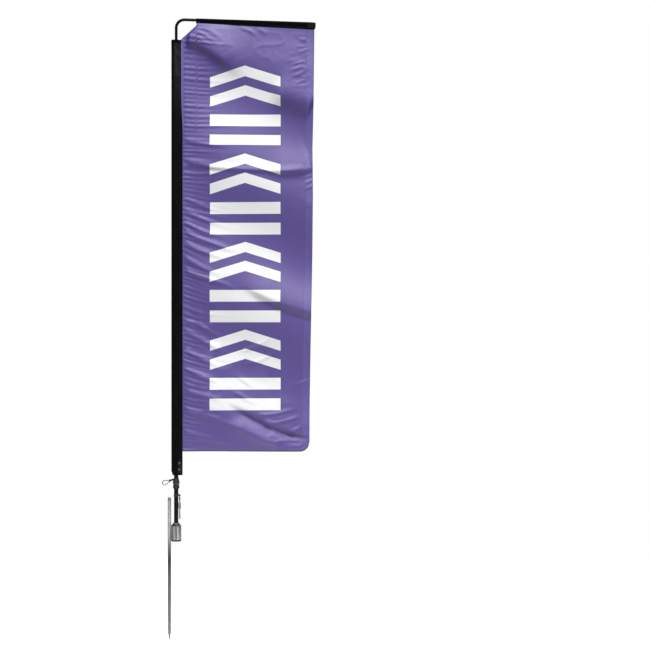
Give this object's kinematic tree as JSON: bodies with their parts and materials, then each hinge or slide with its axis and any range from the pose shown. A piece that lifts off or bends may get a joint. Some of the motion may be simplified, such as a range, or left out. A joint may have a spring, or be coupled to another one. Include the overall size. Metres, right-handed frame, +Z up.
{
  "type": "block banner flag with pole and ground spike",
  "caption": "Rectangular banner flag on a black pole with a bent top arm, turning on a ball-bearing rotator beside a steel ground spike.",
  "frame": {"origin": "the ground spike's axis at the ground line, where its depth mark is", "axes": "+Z up along the spike and the pole, +X from the pole along the panel and the top arm, -Y towards the panel's front"},
  "size_m": [0.64, 0.042, 2.5907],
  "materials": {
    "zinc_steel": "zinc plated, slightly dull",
    "dark_steel": "dark satin steel",
    "bearing_steel": "ground and polished",
    "cage_brass": "pressed brass",
    "pole_black": "black satin coating",
    "collar_black": "moulded, satin",
    "nickel": "nickel plated",
    "sleeve_fabric": "black woven polyester",
    "flag_fabric": "purple knitted polyester with white print",
    "webbing": "black webbing",
    "elastic": "black braided elastic",
    "rubber_black": "smooth rubber",
    "wire_grey": "grey coated wire",
    "hook_grey": "light grey moulded"
  },
  "bodies": {
    "base": {"ground_spike": "zinc_steel", "housing_welds": "dark_steel", "bearing_housing": "zinc_steel", "bottom_plug": "dark_steel", "dust_cap": "dark_steel", "lower_outer_race": "bearing_steel", "upper_outer_race": "bearing_steel", "outer_spacer": "dark_steel", "snap_ring": "dark_steel"},
    "bearing_cages": {"lower_balls": "bearing_steel", "upper_balls": "bearing_steel", "lower_cage": "cage_brass", "upper_cage": "cage_brass"},
    "rotor": {"spindle": "zinc_steel", "lower_inner_race": "bearing_steel", "upper_inner_race": "bearing_steel", "inner_spacer": "dark_steel", "spindle_washer": "zinc_steel", "lock_nut": "zinc_steel", "spindle_o_rings": "rubber_black"},
    "flag_pole": {"lower_pole": "pole_black", "lower_ferrule": "collar_black", "middle_pole": "pole_black", "upper_ferrule": "collar_black", "corner_elbow": "pole_black", "top_arm": "pole_black", "arm_end_cap": "collar_black", "pole_sleeve": "sleeve_fabric", "top_sleeve": "sleeve_fabric", "arm_pocket": "webbing", "flag_panel": "flag_fabric", "tail_webbing": "webbing", "sleeve_eyelets": "nickel", "elastic_strap": "elastic", "cord_anchor": "collar_black"},
    "collar": {"tension_collar": "collar_black", "clamp_ring": "dark_steel", "clamp_screw": "nickel", "loop_pin": "dark_steel"},
    "loop": {"loop_crimp": "collar_black", "pull_loop": "wire_grey"},
    "hook": {"hook_cord": "elastic", "cord_crimp": "dark_steel", "tension_hook": "hook_grey"}
  },
  "joints": [
    {"name": "spindle_spin", "type": "hinge", "parent": "base", "child": "rotor", "pos_m": [0.028, 0, 0.05], "axis": [0, 0, 1], "continuous": true},
    {"name": "cage_spin", "type": "hinge", "parent": "base", "child": "bearing_cages", "pos_m": [0.028, 0, 0.05], "axis": [0, 0, 1], "continuous": true},
    {"name": "pole_lift", "type": "slide", "parent": "rotor", "child": "flag_pole", "axis": [0, 0, 1], "range_m": [0, 0.105]},
    {"name": "collar_slide", "type": "slide", "parent": "flag_pole", "child": "collar", "axis": [0, 0, -1], "range_m": [0, 0.018], "deforming": ["elastic_strap"]},
    {"name": "loop_tilt", "type": "hinge", "parent": "collar", "child": "loop", "pos_m": [0.011, 0, 0.2715], "axis": [0, 1, 0], "range_deg": [-50, 50]},
    {"name": "hook_swing", "type": "hinge", "parent": "flag_pole", "child": "hook", "pos_m": [0.0426, 0, 0.207], "axis": [0, -1, 0], "range_deg": [0, 100]}
  ],
  "couplings": [
    {"joint": "cage_spin", "follows": "spindle_spin", "ratio": 0.381}
  ]
}
